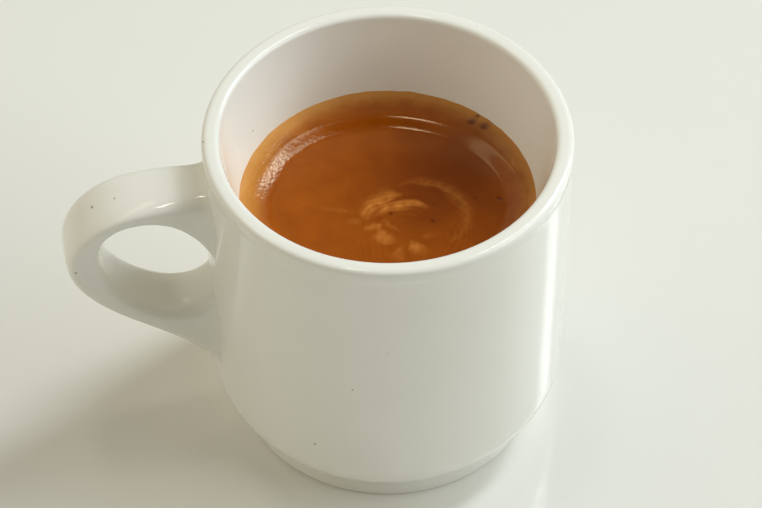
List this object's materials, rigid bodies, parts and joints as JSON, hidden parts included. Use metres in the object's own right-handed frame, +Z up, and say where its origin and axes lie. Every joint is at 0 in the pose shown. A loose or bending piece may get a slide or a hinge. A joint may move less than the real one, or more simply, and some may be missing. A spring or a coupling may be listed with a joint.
{
  "type": "espresso in a cup",
  "caption": "White glazed porcelain cup with a round lip, strap handle and low foot ring, filled to three quarters with espresso under a brown crema.",
  "frame": {"origin": "on the surface the cup stands on, under the middle of the whole object's box; the cup's own axis is 11.9 mm to +X of it", "axes": "+Z up along the cup's axis, -X towards the handle, +Y to the right of someone looking along -X at the far side of the cup"},
  "size_m": [0.0848, 0.061, 0.0624],
  "materials": {
    "porcelain": "glossy white glaze with a warm tint",
    "crema": "wet brown foam, satin"
  },
  "bodies": {
    "root": {"cup": "porcelain", "espresso": "crema"}
  },
  "joints": []
}
